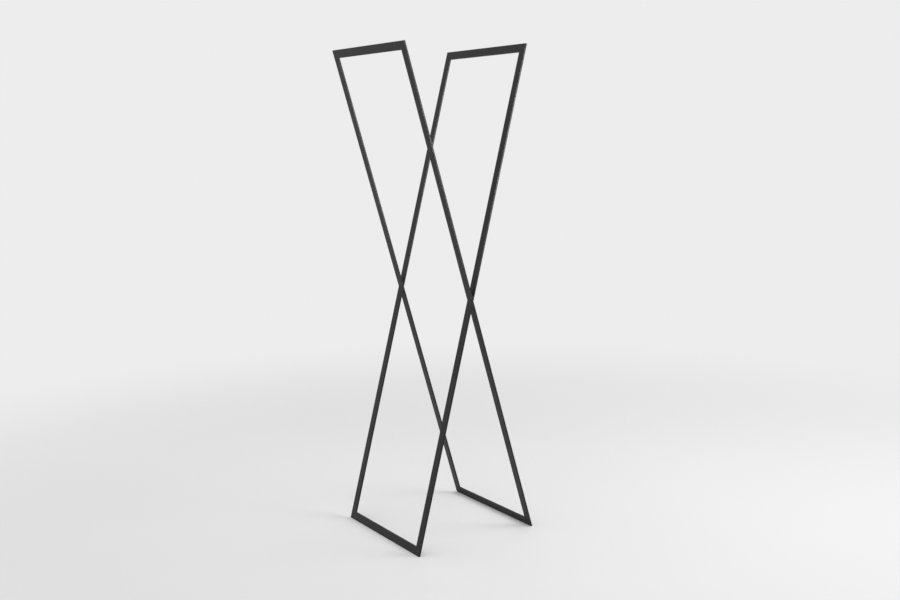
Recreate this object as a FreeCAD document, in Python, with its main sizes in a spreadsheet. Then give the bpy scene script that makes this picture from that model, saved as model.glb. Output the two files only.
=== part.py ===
import FreeCAD, Part
import math
import os
import Sketcher

# Coat stand of flat steel bar: two tall frames cross as an X, seen from the end, and are welded together.
# +Z is up, Y runs along the rails, the front is -Y, and the origin is on the floor under the crossing.
# The through frame leans to +X at the top. The split frame leans to -X, with legs cut at the crossing.

doc = FreeCAD.newDocument("CoatStand")

# Driving dimensions, in millimetres
SIZES = (
    ("stand_height", "1780", "floor to the highest edge of the top rails, before it is rounded"),
    ("frame_width", "500", "outside width of a frame"),
    ("top_spacing", "504", "between the frames' middle planes at the top"),
    ("foot_spacing", "500", "between the frames' middle planes at the floor"),
    ("bar_width", "30", "broad side of the flat bar"),
    ("bar_thickness", "6", "narrow side of the flat bar"),
    ("edge_radius", "0.5", "rounding along the bar's long edges"),
    ("corner_bead", "3", "leg of the weld inside a mitred corner"),
    ("notch_bead", "8", "leg of a weld in the sharp notches of a crossing"),
    ("flank_bead", "2.5", "leg of a weld in the blunt notches of a crossing"),
    ("bead_inset", "0.4", "flat of the bar left bare beyond each end of a weld"),
)

# Values worked out from the driving dimensions
DERIVED = (
    ("tilt", "atan((Sizes.top_spacing + Sizes.foot_spacing) / (2 * Sizes.stand_height))",
     "lean of a frame from upright"),
    ("crossing_height", "Sizes.stand_height * Sizes.foot_spacing / (Sizes.top_spacing + Sizes.foot_spacing)",
     "floor to the middle of the crossing"),
    ("half_bar", "Sizes.bar_thickness / 2", "middle plane of a frame to its broad face"),
    ("upper_reach", "(Sizes.stand_height - crossing_height - half_bar * sin(tilt)) / cos(tilt)",
     "crossing to the top edge, along a leg"),
    ("lower_reach", "(crossing_height + half_bar * sin(tilt)) / cos(tilt)",
     "crossing to the bottom edge, along a leg"),
    ("half_width", "Sizes.frame_width / 2", "middle of a frame to its outer edge"),
    ("inner_half", "half_width - Sizes.bar_width", "middle of a frame to the inner edge of a leg"),
    ("leg_middle", "half_width - Sizes.bar_width / 2", "middle of a frame to the middle of a leg"),
    ("inner_top", "upper_reach - Sizes.bar_width", "crossing to the inner edge of a top rail"),
    ("inner_foot", "lower_reach - Sizes.bar_width", "crossing to the inner edge of a foot rail"),
    ("edge_round", "min(Sizes.edge_radius; 0.4 * Sizes.bar_thickness)", "rounding, limited by the bar"),
    ("cut_span", "1.5 * Sizes.bar_thickness", "reach of a slanting cut to each side of the middle plane"),
    ("dress_low", "-lower_reach - (cut_span - half_bar) * tan(tilt)", "floor cut, where it starts"),
    ("dress_high", "-lower_reach + (cut_span + half_bar) * tan(tilt)", "floor cut, where it ends"),
    ("butt_tip", "half_bar * tan(tilt)", "crossing to the tip of a split leg"),
    ("butt_low", "half_bar / sin(2 * tilt) - cut_span / tan(2 * tilt)", "butt cut, where it starts"),
    ("butt_high", "half_bar / sin(2 * tilt) + cut_span / tan(2 * tilt)", "butt cut, where it ends"),
    ("notch_apex", "half_bar / sin(tilt)", "crossing to the bottom of a sharp notch"),
    ("flank_apex", "half_bar / cos(tilt)", "crossing to the bottom of a blunt notch"),
    ("bead_end", "edge_round + Sizes.bead_inset", "side of a bar to the end of a weld"),
)

# A weld's outer face is an arc whose radius is this many times the weld's leg
BEAD_ARC = 2.2

UP = FreeCAD.Vector(0, 0, 1)
ALONG_RAIL = FreeCAD.Vector(0, 1, 0)

# Signs of the front and back legs' places across a frame, and of the two ends' places along a leg
SIDES = (("front", "-"), ("back", ""))
ENDS = (
    ("top", "upper", "", "upper_reach", "inner_top"),
    ("foot", "lower", "-", "lower_reach", "inner_foot"),
)


def fill_sheet(name, rows, prefix):
    """A spreadsheet with one named value in each row."""
    sheet = doc.addObject("Spreadsheet::Sheet", name)
    for row, (alias, content, meaning) in enumerate(rows, 1):
        sheet.set(f"A{row}", alias)
        sheet.set(f"B{row}", prefix + content)
        sheet.setAlias(f"B{row}", alias)
        sheet.set(f"C{row}", meaning)
    doc.recompute()
    return sheet


fill_sheet("Sizes", SIZES, "")
derived = fill_sheet("Derived", DERIVED, "=")


def number(expression):
    result = derived.evalExpression(expression)
    return getattr(result, "Value", result)


def signed(sign, name):
    return f"{sign}Derived.{name}"


def spot(place):
    """The point that a pair of expressions stands for."""
    across, up = place
    return FreeCAD.Vector(number(across), number(up), 0)


def new_sketch(body, name, plane):
    """An empty sketch on one of the body's own planes."""
    sketch = body.newObject("Sketcher::SketchObject", name)
    support = next(feature for feature in body.Origin.OriginFeatures if feature.Role == plane)
    sketch.AttachmentSupport = [(support, "")]
    sketch.MapMode = "FlatFace"
    return sketch


def hold(sketch, name, kind, elements, expression):
    """A named dimension of a sketch, bound to an expression."""
    index = sketch.addConstraint(Sketcher.Constraint(kind, *elements, number(expression)))
    sketch.renameConstraint(index, name)
    sketch.setExpression(f"Constraints.{name}", expression)


def hold_point(sketch, name, line, end, place):
    """Ties one end of a line to a place, measured from the sketch's origin."""
    across, up = place
    hold(sketch, f"{name}_across", "DistanceX", (-1, 1, line, end), across)
    hold(sketch, f"{name}_up", "DistanceY", (-1, 1, line, end), up)


def draw_polygon(sketch, corners):
    """Closed outline of straight lines through its corners."""
    points = [spot(corner) for corner in corners]
    count = len(points)
    for line in range(count):
        sketch.addGeometry(Part.LineSegment(points[line], points[(line + 1) % count]))
    for line in range(count):
        sketch.addConstraint(Sketcher.Constraint("Coincident", line, 2, (line + 1) % count, 1))
        hold_point(sketch, f"corner_{line}", line, 1, corners[line])


def draw_bead(sketch, name, apex, first, second, leg, hollow):
    """Section of a weld: two legs from the apex of a corner, closed by a hollow or a full arc."""
    root, start, end = spot(apex), spot(first), spot(second)
    middle = (start + end) * 0.5
    radius = BEAD_ARC * number(leg)
    depth = math.sqrt(radius ** 2 - (start - middle).Length ** 2)
    outwards = (middle - root).normalize()
    centre = middle + outwards * (depth if hollow else -depth)
    angles = [math.atan2(tip.y - centre.y, tip.x - centre.x) for tip in (start, end)]
    arc_ends = (1, 2)
    if (angles[1] - angles[0]) % (2 * math.pi) > math.pi:
        angles.reverse()
        arc_ends = (2, 1)
    first_leg = sketch.addGeometry(Part.LineSegment(start, root))
    second_leg = sketch.addGeometry(Part.LineSegment(end, root))
    face = sketch.addGeometry(Part.ArcOfCircle(Part.Circle(centre, UP, radius), *angles))
    sketch.addConstraint(Sketcher.Constraint("Coincident", first_leg, 2, second_leg, 2))
    sketch.addConstraint(Sketcher.Constraint("Coincident", first_leg, 1, face, arc_ends[0]))
    sketch.addConstraint(Sketcher.Constraint("Coincident", second_leg, 1, face, arc_ends[1]))
    hold_point(sketch, f"{name}_apex", first_leg, 2, apex)
    hold_point(sketch, f"{name}_first", first_leg, 1, first)
    hold_point(sketch, f"{name}_second", second_leg, 1, second)
    hold(sketch, f"{name}_radius", "Radius", (face,), f"{BEAD_ARC} * {leg}")


pieces = []


def new_piece(label):
    body = doc.addObject("PartDesign::Body", label)
    body.Label = label
    pieces.append(body)
    return body


def thicken(body, sketch, name, thickness):
    """Gives a sketch thickness, half on each side of its plane."""
    pad = body.newObject("PartDesign::Pad", name)
    pad.Profile = sketch
    pad.SideType = "Symmetric"
    pad.setExpression("Length", thickness)
    doc.recompute()
    return pad


def flat_bar(label, outline, along):
    """A length of flat bar, cut to the outline of its broad side and rounded along its long edges."""
    body = new_piece(label)
    sketch = new_sketch(body, f"{label}_outline", "YZ_Plane")
    draw_polygon(sketch, outline)
    pad = thicken(body, sketch, f"{label}_bar", "Sizes.bar_thickness")
    edges = enumerate(pad.Shape.Edges, 1)
    long_edges = [f"Edge{index}" for index, edge in edges if abs(edge.tangentAt(0).dot(along)) > 0.99]
    rounding = body.newObject("PartDesign::Fillet", f"{label}_rounding")
    rounding.Base = (pad, long_edges)
    rounding.setExpression("Radius", "Derived.edge_round")
    doc.recompute()
    return body


def slice_off(body, name, corners):
    """Cuts off what lies inside a triangle that is drawn across the thickness of the bar."""
    volume = body.Shape.Volume
    sketch = new_sketch(body, f"{name}_line", "XZ_Plane")
    draw_polygon(sketch, corners)
    cut = body.newObject("PartDesign::Pocket", name)
    cut.Profile = sketch
    cut.Type = "ThroughAll"
    cut.SideType = "Symmetric"
    doc.recompute()
    if body.Shape.Volume >= volume:
        raise RuntimeError(f"{name} cuts nothing")


def dress_foot(body, way):
    """Cuts the underside level with the floor, from the outer edge of the foot inwards."""
    outer, inner = ("-", "") if way > 0 else ("", "-")
    low, high = "Derived.dress_low", "Derived.dress_high"
    outside, inside = signed(outer, "cut_span"), signed(inner, "cut_span")
    slice_off(body, f"{body.Label}_floor_cut", ((outside, low), (inside, low), (inside, high)))


def lean(body, way):
    """Tilts a piece of a frame about the crossing, with its top towards +X (way 1) or -X (way -1)."""
    body.Placement = FreeCAD.Placement(FreeCAD.Vector(), FreeCAD.Rotation(FreeCAD.Vector(0, way, 0), 1))
    body.setExpression("Placement.Base.z", "Derived.crossing_height")
    body.setExpression("Placement.Rotation.Angle", "Derived.tilt")


def add_rail(frame, way, end, up, outer, inner):
    """Top or foot rail, mitred at both ends."""
    outer_edge, inner_edge = signed(up, outer), signed(up, inner)
    outline = (
        ("-Derived.half_width", outer_edge),
        ("Derived.half_width", outer_edge),
        ("Derived.inner_half", inner_edge),
        ("-Derived.inner_half", inner_edge),
    )
    body = flat_bar(f"{frame}_{end}_rail", outline, ALONG_RAIL)
    if end == "foot":
        dress_foot(body, way)
    lean(body, way)


def add_through_leg(frame, way, side, across):
    """A whole leg, mitred at both ends."""
    outer_edge, inner_edge = signed(across, "half_width"), signed(across, "inner_half")
    outline = (
        (outer_edge, "Derived.upper_reach"),
        (inner_edge, "Derived.inner_top"),
        (inner_edge, "-Derived.inner_foot"),
        (outer_edge, "-Derived.lower_reach"),
    )
    body = flat_bar(f"{frame}_{side}_leg", outline, UP)
    dress_foot(body, way)
    lean(body, way)


def add_split_leg(frame, way, side, across, half, up, outer, inner):
    """Half a leg, mitred at its rail and cut at a slant to butt against the leg that it crosses."""
    outer_edge, inner_edge = signed(across, "half_width"), signed(across, "inner_half")
    tip = signed(up, "butt_tip")
    outline = (
        (outer_edge, signed(up, outer)),
        (inner_edge, signed(up, inner)),
        (inner_edge, tip),
        (outer_edge, tip),
    )
    body = flat_bar(f"{frame}_{side}_{half}_leg", outline, UP)
    short_side, long_side = ("-", "") if up == "" else ("", "-")
    low, high = signed(up, "butt_low"), signed(up, "butt_high")
    start, end = signed(short_side, "cut_span"), signed(long_side, "cut_span")
    slice_off(body, f"{body.Label}_butt_cut", ((start, low), (end, low), (end, high)))
    if half == "lower":
        dress_foot(body, way)
    lean(body, way)


def add_corner_weld(frame, way, end, side, across, up, inner):
    """Weld bead in the inner corner between a rail and a leg."""
    body = new_piece(f"{frame}_{end}_{side}_weld")
    sketch = new_sketch(body, f"{body.Label}_section", "YZ_Plane")
    leg_face, rail_face = signed(across, "inner_half"), signed(up, inner)
    along_rail = f"{across}(Derived.inner_half - Sizes.corner_bead)"
    along_leg = f"{up}(Derived.{inner} - Sizes.corner_bead)"
    draw_bead(sketch, "bead", (leg_face, rail_face), (along_rail, rail_face), (leg_face, along_leg),
              "Sizes.corner_bead", hollow=True)
    thicken(body, sketch, f"{body.Label}_bead", "Sizes.bar_thickness - 2 * Derived.bead_end")
    lean(body, way)


def add_crossing_welds(side, across):
    """Weld beads in the four notches where two legs cross."""
    body = new_piece(f"{side}_crossing_welds")
    body.AllowCompound = True
    sketch = new_sketch(body, f"{body.Label}_sections", "XZ_Plane")
    notch_across = "Sizes.notch_bead * sin(Derived.tilt)"
    notch_up = "(Derived.notch_apex + Sizes.notch_bead * cos(Derived.tilt))"
    flank_across = "(Derived.flank_apex + Sizes.flank_bead * sin(Derived.tilt))"
    flank_up = "Sizes.flank_bead * cos(Derived.tilt)"
    for name, sign in (("upper", ""), ("lower", "-")):
        level = f"{sign}{notch_up}"
        draw_bead(sketch, name, ("0", signed(sign, "notch_apex")), (f"-{notch_across}", level),
                  (notch_across, level), "Sizes.notch_bead", hollow=True)
    for name, sign in (("left", "-"), ("right", "")):
        reach = f"{sign}{flank_across}"
        draw_bead(sketch, name, (signed(sign, "flank_apex"), "0"), (reach, flank_up),
                  (reach, f"-{flank_up}"), "Sizes.flank_bead", hollow=False)
    thicken(body, sketch, f"{body.Label}_beads", "Sizes.bar_width - 2 * Derived.bead_end")
    body.setExpression("Placement.Base.y", signed(across, "leg_middle"))
    body.setExpression("Placement.Base.z", "Derived.crossing_height")


# The rails of both frames, with a weld inside each corner
for frame, way in (("through_frame", 1), ("split_frame", -1)):
    for end, _, up, outer, inner in ENDS:
        add_rail(frame, way, end, up, outer, inner)
        for side, across in SIDES:
            add_corner_weld(frame, way, end, side, across, up, inner)

# The legs, whole in one frame and cut in two in the other, with the welds where they cross
for side, across in SIDES:
    add_through_leg("through_frame", 1, side, across)
    for _, half, up, outer, inner in ENDS:
        add_split_leg("split_frame", -1, side, across, half, up, outer, inner)
    add_crossing_welds(side, across)

# Every feature has to be sound before a file is written
doc.recompute()
faults = [feature.Label for feature in doc.Objects if {"Invalid", "Error"} & set(feature.State)]
faults += [piece.Label for piece in pieces if piece.Shape.isNull() or not piece.Shape.isValid()]
if faults:
    raise RuntimeError("not sound: " + ", ".join(faults))

os.makedirs("parts", exist_ok=True)
for piece in pieces:
    piece.Shape.exportStep(f"parts/{piece.Label}.step")
    print(f"{piece.Label}: {len(piece.Shape.Solids)} solid(s), {piece.Shape.Volume / 1000:.2f} cm3")
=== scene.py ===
# %% [markdown]
# # A coat stand of crossed flat bar
# The stand is two tall steel frames that cross like an X and are welded where their legs meet. The packed
# model already holds each bar at its real size and place, so nothing here moves a bar. The lesson gives the
# steel its black coat, draws the weld beads and sets up the light and the view of the photograph.

# %% Load the frame and keep its box
import math

import bmesh
import bpy
from mathutils import Matrix, Vector


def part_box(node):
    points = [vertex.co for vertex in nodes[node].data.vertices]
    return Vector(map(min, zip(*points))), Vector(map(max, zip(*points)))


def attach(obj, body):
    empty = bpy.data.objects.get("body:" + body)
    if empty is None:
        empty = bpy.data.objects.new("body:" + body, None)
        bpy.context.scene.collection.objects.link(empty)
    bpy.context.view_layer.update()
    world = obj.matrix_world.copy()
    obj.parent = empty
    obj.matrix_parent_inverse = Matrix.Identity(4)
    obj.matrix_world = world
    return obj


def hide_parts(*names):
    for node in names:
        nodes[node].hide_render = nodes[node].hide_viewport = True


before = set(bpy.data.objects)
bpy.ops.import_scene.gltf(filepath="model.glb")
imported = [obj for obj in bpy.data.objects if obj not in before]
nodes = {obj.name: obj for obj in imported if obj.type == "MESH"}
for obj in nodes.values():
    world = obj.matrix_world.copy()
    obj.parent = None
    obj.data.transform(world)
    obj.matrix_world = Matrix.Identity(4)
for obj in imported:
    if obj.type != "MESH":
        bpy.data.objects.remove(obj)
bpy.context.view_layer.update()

print("nodes in the frame:", len(nodes))

# %% [markdown]
# ## Measuring the frame
# The stand is symmetrical, so a few measures describe it: how far the frames lean and where they cross. They
# could be typed in again, but then they could drift away from the model. Here they are read from the bars:
# the lean from the middles of a top rail and a foot rail, the crossing from the welds that sit in it.


# %% Read the lean and the crossing
def middle(node):
    low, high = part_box(node)
    return (low + high) / 2


leg_line = middle("through_frame_top_rail") - middle("through_frame_foot_rail")
LEAN = math.atan2(leg_line.x, leg_line.z)
CROSSING_HEIGHT = middle("front_crossing_welds").z


def leg_direction(way):
    """Direction up along the legs of the frame that leans to +X (way 1) or to -X (way -1)."""
    return Vector((way * math.sin(LEAN), 0, math.cos(LEAN)))


def face_direction(way):
    """Direction square to the broad faces of that frame."""
    return Vector((math.cos(LEAN), 0, -way * math.sin(LEAN)))


def reach(node, direction, about=Vector()):
    """The least and the greatest distance that a node's points reach along a direction."""
    along = [(vertex.co - about).dot(direction) for vertex in nodes[node].data.vertices]
    return min(along), max(along)


low_face, high_face = reach("through_frame_top_rail", face_direction(1))
BAR_THICKNESS = high_face - low_face
CROSSING = Vector((0, 0, CROSSING_HEIGHT))
print(f"lean {math.degrees(LEAN):.2f} degrees, crossing {CROSSING_HEIGHT:.4f} m up")
print(f"bar thickness {BAR_THICKNESS * 1000:.2f} mm")

# %% [markdown]
# ## The camera
# A photograph's view is a place, three angles and a lens. A helper could aim the camera at the stand, but
# the photograph is not centred on it and leans a little to one side. So the angles are written out and
# applied as on a tripod: turn on the post, tip down, then roll about the line of sight.

# %% Set the camera on its tripod
PHOTO_WIDTH = 900
FOCAL_LENGTH_PIXELS = 1098
SENSOR_WIDTH = 36

tripod_top = Vector((-2.177, -3.388, 1.506))
turn_right = math.radians(33.546)
tip_down = math.radians(9.119)
roll_left = math.radians(-1.318)

lens = bpy.data.cameras.new("camera")
lens.sensor_width = SENSOR_WIDTH
lens.lens = FOCAL_LENGTH_PIXELS * SENSOR_WIDTH / PHOTO_WIDTH
camera = bpy.data.objects.new("camera", lens)
bpy.context.scene.collection.objects.link(camera)
camera.matrix_world = (
    Matrix.Translation(tripod_top)
    @ Matrix.Rotation(-turn_right, 4, "Z")
    @ Matrix.Rotation(math.radians(90) - tip_down, 4, "X")
    @ Matrix.Rotation(roll_left, 4, "Z")
)
bpy.context.scene.camera = camera
print(f"lens {lens.lens:.1f} mm, {tripod_top.length:.2f} m from the foot of the stand")

# %% [markdown]
# ## Small helpers for nodes
# Every finish below is a net of nodes. Writing each link by hand hides the idea, so one helper adds a node
# and fills its inputs, with a plain value or with another node's output.


# %% Helpers that add nodes
def add(tree, kind, inputs, **options):
    """Adds a node, sets its options and fills its inputs with values or with other nodes' outputs."""
    node = tree.nodes.new("ShaderNode" + kind)
    for option, value in options.items():
        setattr(node, option, value)
    for socket, value in inputs.items():
        if isinstance(value, bpy.types.NodeSocket):
            tree.links.new(value, node.inputs[socket])
        else:
            node.inputs[socket].default_value = value
    return node


def calculate(tree, operation, first, second=0.0):
    return add(tree, "Math", {0: first, 1: second}, operation=operation).outputs[0]


def ramp(tree, value, low, high, start=0.0, end=1.0):
    """A soft step: start up to the low value, end from the high value on."""
    limits = {"Value": value, "From Min": low, "From Max": high, "To Min": start, "To Max": end}
    return add(tree, "MapRange", limits, interpolation_type="SMOOTHSTEP").outputs["Result"]


# A Mix node keeps its sockets for colours behind those for numbers and vectors
MIX_COLOURS = slice(6, 8)
MIX_RESULT = 2


def tint(tree, share, under, over):
    """One colour laid over another by a share from 0 to 1."""
    node = add(tree, "Mix", {"Factor": share}, data_type="RGBA")
    for socket, colour in zip(node.inputs[MIX_COLOURS], (under, over)):
        if isinstance(colour, bpy.types.NodeSocket):
            tree.links.new(colour, socket)
        else:
            socket.default_value = (*colour, 1)
    return node.outputs[MIX_RESULT]


def new_material(name):
    material = bpy.data.materials.new(name)
    material.use_nodes = True
    return material, material.node_tree, material.node_tree.nodes["Principled BSDF"]


# %% [markdown]
# ## The floor
# The photograph has a pale paper sweep: a floor that rises into a wall with no corner. A modelled sweep
# would stand in the way of a camera that walks round the stand. So the floor is flat, catches the shadows
# near the stand, and fades into the tone of the wall further out. The fade shows to the camera and in
# reflections only, so that it adds no light to the stand.

# %% Mix the paper
WALL_GLOW = 0.845
PAPER_TONE = 0.77
CLOUD_CONTRAST = 0.015
CLOUD_SCALE = 1.3
PAPER_ROUGHNESS = 0.9
PAPER_SHEEN = 0.1
FADE_START = 1.0
FADE_END = 3.6


def grey(tone):
    return (tone, tone, tone)


paper, tree, shader = new_material("paper_floor")
place = add(tree, "TexCoord", {}).outputs["Object"]
clouding = add(tree, "TexNoise", {"Vector": place, "Scale": CLOUD_SCALE, "Detail": 2.0}).outputs["Fac"]
dark_paper = grey(PAPER_TONE * (1 - CLOUD_CONTRAST))
light_paper = grey(PAPER_TONE * (1 + CLOUD_CONTRAST))
tree.links.new(tint(tree, clouding, dark_paper, light_paper), shader.inputs["Base Color"])
shader.inputs["Roughness"].default_value = PAPER_ROUGHNESS
shader.inputs["Specular IOR Level"].default_value = PAPER_SHEEN

distance = add(tree, "VectorMath", {0: place}, operation="LENGTH").outputs["Value"]
fade = ramp(tree, distance, FADE_START, FADE_END)
paths = add(tree, "LightPath", {}).outputs
seen = calculate(tree, "MAXIMUM", paths["Is Camera Ray"], paths["Is Glossy Ray"])
seen = calculate(tree, "MAXIMUM", seen, paths["Is Transmission Ray"])
glow = add(tree, "Emission", {"Color": (*grey(WALL_GLOW), 1)}).outputs[0]
faded = calculate(tree, "MULTIPLY", fade, seen)
blend = add(tree, "MixShader", {0: faded, 1: shader.outputs[0], 2: glow}).outputs[0]
tree.links.new(blend, tree.nodes["Material Output"].inputs["Surface"])
print(f"paper fades into the wall from {FADE_START} m to {FADE_END} m")

# %% Lay the floor
FLOOR_HALF = 30.0
FLOOR_DROP = 0.0002


def stage_sheet(name, corners, material):
    """A flat sheet through four corners that belongs to the studio and not to the stand."""
    mesh = bpy.data.meshes.new(name)
    mesh.from_pydata(corners, [], [(0, 1, 2, 3)])
    mesh.materials.append(material)
    sheet = bpy.data.objects.new(name, mesh)
    bpy.context.scene.collection.objects.link(sheet)
    return sheet


SQUARE = ((-1, -1), (1, -1), (1, 1), (-1, 1))
stage_sheet("floor", [(x * FLOOR_HALF, y * FLOOR_HALF, -FLOOR_DROP) for x, y in SQUARE], paper)
print("floor", 2 * FLOOR_HALF, "m square")

# %% [markdown]
# ## The room's light
# The stand is in a white room. Its walls give light from all round, and the same world is the wall behind
# the stand. A world of one even white would flatten the bars, so it is darker overhead than at eye level.

# %% Light the room
OVERHEAD_GLOW = 0.45
EYE_LEVEL = 0.12
OVERHEAD = 0.75

bpy.context.scene.view_settings.view_transform = "Standard"
world = bpy.data.worlds.new("white_room")
world.use_nodes = True
bpy.context.scene.world = world
tree = world.node_tree
outlook = add(tree, "TexCoord", {}).outputs["Generated"]
height = add(tree, "SeparateXYZ", {"Vector": outlook}).outputs["Z"]
brightness = ramp(tree, height, EYE_LEVEL, OVERHEAD, WALL_GLOW, OVERHEAD_GLOW)
tree.links.new(brightness, tree.nodes["Background"].inputs["Strength"])
tree.nodes["Background"].inputs["Color"].default_value = (*grey(1), 1)
print(f"room light from {OVERHEAD_GLOW} overhead to {WALL_GLOW} at eye level")

# %% [markdown]
# ## The softboxes
# The floor is even and brightens to the right, the foot rails throw soft shadows to the left, and the narrow
# sides of the bars shine at the top only. A bare lamp would draw hard lines of shadow. So a wide softbox
# overhead gives the even light, a smaller one brightens the right, and a third behind a grid picks out the
# upper narrow sides. A grid lets light out within a narrow fan, so the third hardly reaches the foot. It
# could be a narrower, brighter strip further left, but black rails seen at a slant from behind reflect
# that as white.

# %% Hang the softboxes
OPEN_FAN = math.pi
GRID_FAN = math.radians(60)


def hang_softbox(name, where, aim, size, level, fan=OPEN_FAN):
    """A softbox of this width and height. Level is how bright it alone makes a white face at the aim."""
    lamp = bpy.data.lights.new(name, "AREA")
    lamp.shape = "RECTANGLE"
    lamp.size, lamp.size_y = size
    lamp.spread = fan
    gathered = 1.0
    if fan < OPEN_FAN:
        gathered = math.tan(fan / 2) / (math.tan(fan / 2) - fan / 2)
    throw = Vector(aim) - Vector(where)
    lamp.energy = level * math.pi ** 2 * throw.length_squared / gathered
    box = bpy.data.objects.new(name, lamp)
    bpy.context.scene.collection.objects.link(box)
    box.location = where
    box.rotation_euler = throw.to_track_quat("-Z", "Y").to_euler()
    box.visible_camera = False
    print(f"{name}: {lamp.energy:.1f} W")


hang_softbox("overhead_softbox", where=(0, 0, 4.0), aim=(0, 0, 0), size=(6.0, 6.0), level=0.66)
hang_softbox("key_softbox", where=(2.4, -2.0, 2.6), aim=(0.6, -0.6, 0), size=(1.6, 1.6), level=0.32)
hang_softbox(
    "grid_softbox", where=(1.3, -1.9, 1.5), aim=(0, 0, 1.5), size=(0.8, 1.0), level=1.3, fan=GRID_FAN
)

# %% [markdown]
# ## The black flag: a painted dark reflection
# Glossy paint shows what stands opposite. The lower narrow sides are almost black, so something dark hangs
# in front of them: a flag, a black sheet with a faint felt grain. It could be an ordinary sheet, but that
# would put a hard shadow line on the floor behind it and hide the stand from that side. So it shows in
# reflections only: it is painted shade for the gloss to reflect, in place of the dark front of the room,
# and it casts no shade itself.

# %% Hang the black flag
FLAG_HALF = 5.0
FLAG_TOP = 3.0
FLAG_AWAY = 2.7
# Tones of the painted dark reflection: the black that the glossy coat shows in front of the stand
PAINTED_REFLECTION_DARK = 0.018
PAINTED_REFLECTION_LIGHT = 0.022
FELT_SCALE = 40.0

dark_reflection_material, tree, shader = new_material("painted_dark_reflection")
place = add(tree, "TexCoord", {}).outputs["Object"]
fibres = add(tree, "TexNoise", {"Vector": place, "Scale": FELT_SCALE, "Detail": 3.0}).outputs["Fac"]
tree.links.new(tint(tree, fibres, grey(PAINTED_REFLECTION_DARK), grey(PAINTED_REFLECTION_LIGHT)), shader.inputs["Base Color"])
shader.inputs["Roughness"].default_value = 1.0
upright = ((-1, 0), (1, 0), (1, 1), (-1, 1))
flag = stage_sheet("black_flag", [(x * FLAG_HALF, -FLAG_AWAY, z * FLAG_TOP) for x, z in upright], dark_reflection_material)
# Only glossy rays see the flag, so it is a painted dark reflection and casts no shade
flag.visible_camera = False
flag.visible_diffuse = False
flag.visible_shadow = False
print(f"flag {2 * FLAG_HALF} m wide and {FLAG_TOP} m high")

# %% [markdown]
# ## Effects that both coats share
# The bars and the welds wear the same powder coat, so its effects are node groups: built once, placed in
# both materials, each time with values of their own. A group gives out heights and masks only. The shader
# itself stays in the material.


# %% A frame for a shared effect
def new_effect(name, inputs, outputs):
    """An empty group with named inputs and outputs, its tree and its input sockets."""
    tree = bpy.data.node_groups.new(name, "ShaderNodeTree")
    for label, value in inputs.items():
        tree.interface.new_socket(label, in_out="INPUT", socket_type="NodeSocketFloat").default_value = value
    for label in outputs:
        tree.interface.new_socket(label, in_out="OUTPUT", socket_type="NodeSocketFloat")
    return tree, tree.nodes.new("NodeGroupInput").outputs


def close_effect(tree, results):
    """Wires the results of a group to its outputs."""
    end = tree.nodes.new("NodeGroupOutput")
    for label, socket in results.items():
        tree.links.new(socket, end.inputs[label])
    print("effect:", tree.name)


def place_effect(tree, effect, inputs):
    """Places a shared effect in a material and gives its outputs."""
    return add(tree, "Group", inputs, node_tree=effect).outputs


# %% [markdown]
# ### Powder grain
# Powder paint melts in an oven and never flows quite flat: it keeps a soft orange peel about a millimetre
# and a half across, with a finer grain on top. Two sizes of noise give both, as a height in metres, so
# that the bump is as deep as the real coat.

# %% Build the powder grain
powder_grain, given = new_effect(
    "powder_grain",
    {"Peel Size": 0.0016, "Peel Depth": 0.00001, "Grain Size": 0.0004, "Grain Depth": 0.000003},
    ("Height", "Mottle"),
)


# Heights of the noise between which soft and firm patches fade in
SOFT_PATCHES = (0.3, 0.7)
FIRM_PATCHES = (0.35, 0.65)


def lumps(tree, size, detail):
    """Noise in the round, with lumps of a given size in metres."""
    place = add(tree, "TexCoord", {}).outputs["Object"]
    scale = calculate(tree, "DIVIDE", 1.0, size)
    return add(tree, "TexNoise", {"Vector": place, "Scale": scale, "Detail": detail}).outputs["Fac"]


peel = lumps(powder_grain, given["Peel Size"], detail=1.0)
grain = lumps(powder_grain, given["Grain Size"], detail=2.0)
peel_height = calculate(powder_grain, "MULTIPLY", peel, given["Peel Depth"])
grain_height = calculate(powder_grain, "MULTIPLY", grain, given["Grain Depth"])
close_effect(powder_grain, {
    "Height": calculate(powder_grain, "ADD", peel_height, grain_height),
    "Mottle": ramp(powder_grain, grain, *SOFT_PATCHES),
})

# %% [markdown]
# ### Thin edges
# Wet or molten paint draws back from a sharp edge, and sleeves and hangers rub there first. So the edges are
# a little lighter and smoother. Looking for edges from inside the bar finds them: a short ray meets the
# next face only near an edge. Noise breaks the line up, because wear is never even.

# %% Build the thin edges
OPEN_INSIDE = 0.85
CLOSE_TO_EDGE = 0.45
LEAST_WEAR = 0.35

thin_edges, given = new_effect("thin_edges", {"Width": 0.0007, "Patch Size": 0.012}, ("Mask",))
look_inside = {"inside": True, "only_local": True, "samples": 8}
inside = add(thin_edges, "AmbientOcclusion", {"Distance": given["Width"]}, **look_inside).outputs["AO"]
near_edge = ramp(thin_edges, inside, OPEN_INSIDE, CLOSE_TO_EDGE)
wear = lumps(thin_edges, given["Patch Size"], detail=3.0)
patches = ramp(thin_edges, wear, *FIRM_PATCHES, LEAST_WEAR, 1.0)
close_effect(thin_edges, {"Mask": calculate(thin_edges, "MULTIPLY", near_edge, patches)})

# %% [markdown]
# ### Settled dust
# Dust falls straight down, so it lies on what faces up: the tops of the rails and the welds in the upper
# notches. The mask follows the face's own direction, and noise keeps it thin and patchy.

# %% Build the settled dust
SLANTING = 0.5
NEARLY_LEVEL = 0.95
LEAST_DUST = 0.3

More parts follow.
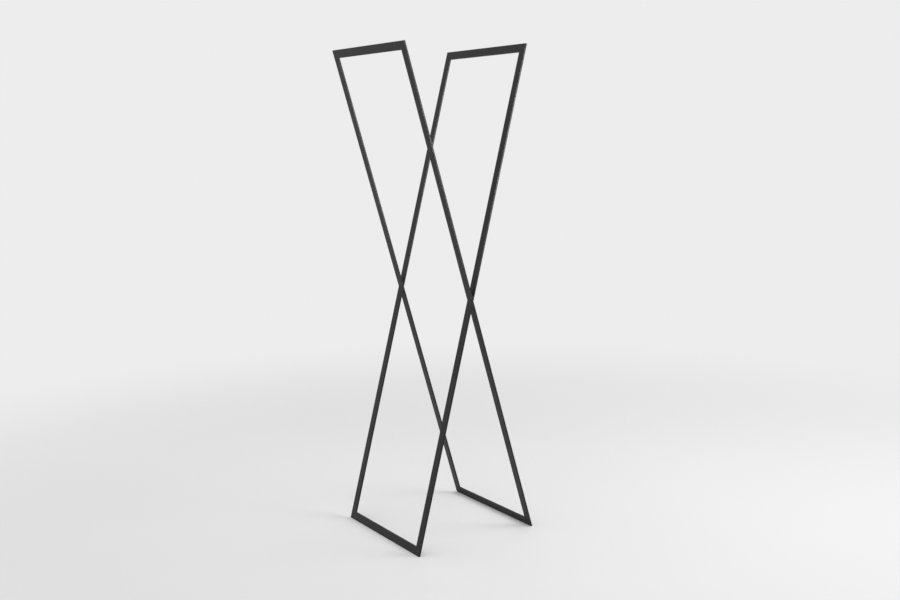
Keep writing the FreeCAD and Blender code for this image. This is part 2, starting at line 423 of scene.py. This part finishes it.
settled_dust, given = new_effect("settled_dust", {"Amount": 0.05, "Patch Size": 0.03}, ("Mask",))
facing = add(settled_dust, "NewGeometry", {}).outputs["Normal"]
upwards = add(settled_dust, "SeparateXYZ", {"Vector": facing}).outputs["Z"]
facing_up = ramp(settled_dust, upwards, SLANTING, NEARLY_LEVEL)
drifts = lumps(settled_dust, given["Patch Size"], detail=4.0)
drift = ramp(settled_dust, drifts, *SOFT_PATCHES, LEAST_DUST, 1.0)
layer = calculate(settled_dust, "MULTIPLY", facing_up, drift)
close_effect(settled_dust, {"Mask": calculate(settled_dust, "MULTIPLY", layer, given["Amount"])})

# %% [markdown]
# ## The two coats
# Satin black powder coat: very dark, with a broad soft gloss. A plain black with one roughness would look
# like plastic film, so grain, edges, dust and faint rubbed patches each change colour or gloss a little. The
# coat is thicker and smoother over a weld bead, which is rougher metal but gets a heavier build of powder.

# %% Mix the coats
COAT_BLACK = (0.011, 0.011, 0.0115)
COAT_MOTTLE = (0.015, 0.015, 0.0155)
COAT_EDGE = (0.03, 0.03, 0.031)
DUST_GREY = (0.25, 0.245, 0.235)
DUST_AMOUNT = 0.05
COAT_SPECULAR = 0.22
RUBBED_SIZE = 0.06
RUBBED_SHINE = 0.03
EDGE_SHINE = 0.06


def powder_coat(name, roughness, grain_values, edge_values):
    """A black powder coat with its grain, thin edges, rubbed patches and dust."""
    material, tree, shader = new_material(name)
    grain = place_effect(tree, powder_grain, grain_values)
    edge = place_effect(tree, thin_edges, edge_values)["Mask"]
    dust = place_effect(tree, settled_dust, {"Amount": DUST_AMOUNT})["Mask"]
    colour = tint(tree, grain["Mottle"], COAT_BLACK, COAT_MOTTLE)
    colour = tint(tree, edge, colour, COAT_EDGE)
    colour = tint(tree, dust, colour, DUST_GREY)
    tree.links.new(colour, shader.inputs["Base Color"])
    handled = lumps(tree, RUBBED_SIZE, detail=3.0)
    rubbed = ramp(tree, handled, *FIRM_PATCHES, roughness + RUBBED_SHINE, roughness - RUBBED_SHINE)
    gloss = calculate(tree, "SUBTRACT", rubbed, calculate(tree, "MULTIPLY", edge, EDGE_SHINE))
    dull = calculate(tree, "ADD", gloss, dust)
    tree.links.new(dull, shader.inputs["Roughness"])
    shader.inputs["Specular IOR Level"].default_value = COAT_SPECULAR
    bump = add(tree, "Bump", {"Height": grain["Height"], "Distance": 1.0})
    tree.links.new(bump.outputs["Normal"], shader.inputs["Normal"])
    print("coat:", name, "roughness", roughness)
    return material


bar_coat = powder_coat("bar_coat", roughness=0.39, grain_values={}, edge_values={})
weld_grain = {"Peel Depth": 0.000014}
weld_edges = {"Width": 0.0004}
weld_coat = powder_coat("weld_coat", roughness=0.33, grain_values=weld_grain, edge_values=weld_edges)

# %% [markdown]
# ## Coating the bars
# The bars are right as they come: flat bar with lightly rounded edges, mitred at the corners. They keep
# their shapes and only swap the plain material that came with the model.

# %% Coat the bars
bars = [node for name, node in nodes.items() if name.endswith(("_rail", "_leg"))]
for bar in bars:
    for slot in bar.material_slots:
        slot.material = bar_coat
print("bars coated:", len(bars))

# %% [markdown]
# ## Weld beads
# A weld is laid in small puddles, each of which freezes on the edge of the last, so a bead has curved
# ripples and rounded ends. The model's welds are plain wedges that mark the place and size. Each one is
# measured and drawn again here: a section with a hollow or a full face, drawn out along the joint and
# rippled on the way. Ripples only cut into the wedge, so a bead never grows past it.

# %% Draw one bead
RIPPLE_PITCH = 0.0014
RIPPLE_DEPTH = 0.00016
RIPPLE_BOW = 0.8
STEPS_PER_RIPPLE = 6
FACE_STEPS = 12
END_GAP = 0.004
print(f"ripples {RIPPLE_PITCH * 1000:.1f} mm apart and {RIPPLE_DEPTH * 1000:.2f} mm deep")


def fullness(place, end_share):
    """Size of a bead's section along its run: full in the middle, rounded off over a share of each end."""
    from_end = min(place, 1 - place)
    if from_end >= end_share:
        return 1.0
    return math.sqrt(1 - (1 - from_end / end_share) ** 2)


def valley(distance, across):
    """How deep in a ripple's valley a point lies, from 0 on a crest to 1, with the ripples bowed back."""
    phase = distance / RIPPLE_PITCH + RIPPLE_BOW * across ** 2
    return 1 - abs(math.sin(math.pi * phase))


def bead_ring(root, first, second, bulge, distance, full):
    """Points round one section: the root of the joint, then the face from the first side to the second."""
    outwards = ((first + second) / 2 - root).normalized()
    ring = [root]
    for step in range(FACE_STEPS + 1):
        across = 2 * step / FACE_STEPS - 1
        dome = 1 - across ** 2
        flat = first.lerp(second, step / FACE_STEPS)
        rise = full * dome * (bulge - RIPPLE_DEPTH * valley(distance, across))
        ring.append(root.lerp(flat, full) + outwards * rise)
    return ring


def draw_bead(mesh, root, first, second, run, bulge):
    """Adds one closed bead to a mesh. The section is given at the middle of the run."""
    length = run.length
    steps = round(length / RIPPLE_PITCH) * STEPS_PER_RIPPLE
    end_share = (first - second).length / 2 / length
    rings = []
    for step in range(steps + 1):
        place = END_GAP + (1 - 2 * END_GAP) * step / steps
        shift = run * (place - 0.5)
        points = bead_ring(root, first, second, bulge, place * length, fullness(place, end_share))
        rings.append([mesh.verts.new(point + shift) for point in points])
    for ring, following in zip(rings, rings[1:]):
        for index in range(len(ring)):
            after = (index + 1) % len(ring)
            face = mesh.faces.new((ring[index], ring[after], following[after], following[index]))
            face.smooth = 0 < index < len(ring) - 1
    mesh.faces.new(rings[0])
    mesh.faces.new(rings[-1])


# %% [markdown]
# ### Putting the beads in their joints
# Inside a mitred corner the joint is square, and the bead runs through the thickness of the bar. At a
# crossing there are four beads across the width of the bars: two in the sharp notches above and below, and
# two on the blunt sides. Each bead takes the place of the wedge that it was measured from.


# %% Helpers that finish a bead piece
def bead_piece(node, draw):
    """A piece of one or more beads that takes the place of a node's plain wedges."""
    mesh = bmesh.new()
    draw(mesh, node)
    bmesh.ops.recalc_face_normals(mesh, faces=mesh.faces)
    data = bpy.data.meshes.new(node + "_bead")
    mesh.to_mesh(data)
    mesh.free()
    data.materials.append(weld_coat)
    piece = bpy.data.objects.new(node + "_bead", data)
    bpy.context.scene.collection.objects.link(piece)
    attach(piece, "root")
    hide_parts(node)
    return piece


# %% Draw the beads in the mitred corners
CORNER_HOLLOW = 0.00055


def draw_corner_bead(mesh, node):
    """The bead inside one corner: its root is where the wedge reaches furthest out along the bars."""
    way = 1 if node.startswith("through") else -1
    up, square = leg_direction(way), face_direction(way)
    across = Vector((0, 1, 0))
    outer, inner = reach(node, across)
    high, low = reversed(reach(node, up, CROSSING))
    if "_back_" in node:
        outer, inner = inner, outer
    if "_foot_" in node:
        high, low = low, high
    near, far = reach(node, square, CROSSING)
    level = CROSSING + square * (near + far) / 2
    root = level + across * outer + up * high
    on_rail = level + across * inner + up * high
    on_leg = level + across * outer + up * low
    draw_bead(mesh, root, on_rail, on_leg, square * (far - near), -CORNER_HOLLOW)


corner_nodes = [name for name in sorted(nodes) if name.endswith("_weld")]
for node in corner_nodes:
    bead_piece(node, draw_corner_bead)
print("corner beads:", len(corner_nodes))

# %% Draw the beads at the crossings
NOTCH_HOLLOW = 0.0003
FLANK_BULGE = 0.0003


def draw_crossing_beads(mesh, node):
    """The four beads of one crossing, from the height of the wedges and the faces of the bars."""
    low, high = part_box(node)
    centre = (low + high) / 2
    run = Vector((0, high.y - low.y, 0))
    notch = BAR_THICKNESS / 2 / math.sin(LEAN)
    notch_leg = (high.z - centre.z - notch) / math.cos(LEAN)
    flank = BAR_THICKNESS / 2 / math.cos(LEAN)
    heights = [abs(vertex.co.z - centre.z) for vertex in nodes[node].data.vertices]
    flank_leg = max(height for height in heights if height < notch / 2) / math.cos(LEAN)
    right, left = leg_direction(1), leg_direction(-1)
    for sign in (1, -1):
        root = centre + Vector((0, 0, sign * notch))
        reach_up = sign * notch_leg
        draw_bead(mesh, root, root + right * reach_up, root + left * reach_up, run, -NOTCH_HOLLOW)
        root = centre + Vector((sign * flank, 0, 0))
        reach_out = sign * flank_leg
        draw_bead(mesh, root, root + right * reach_out, root - left * reach_out, run, FLANK_BULGE)


for side in ("front", "back"):
    piece = bead_piece(f"{side}_crossing_welds", draw_crossing_beads)
    print(piece.name, len(piece.data.polygons), "faces")
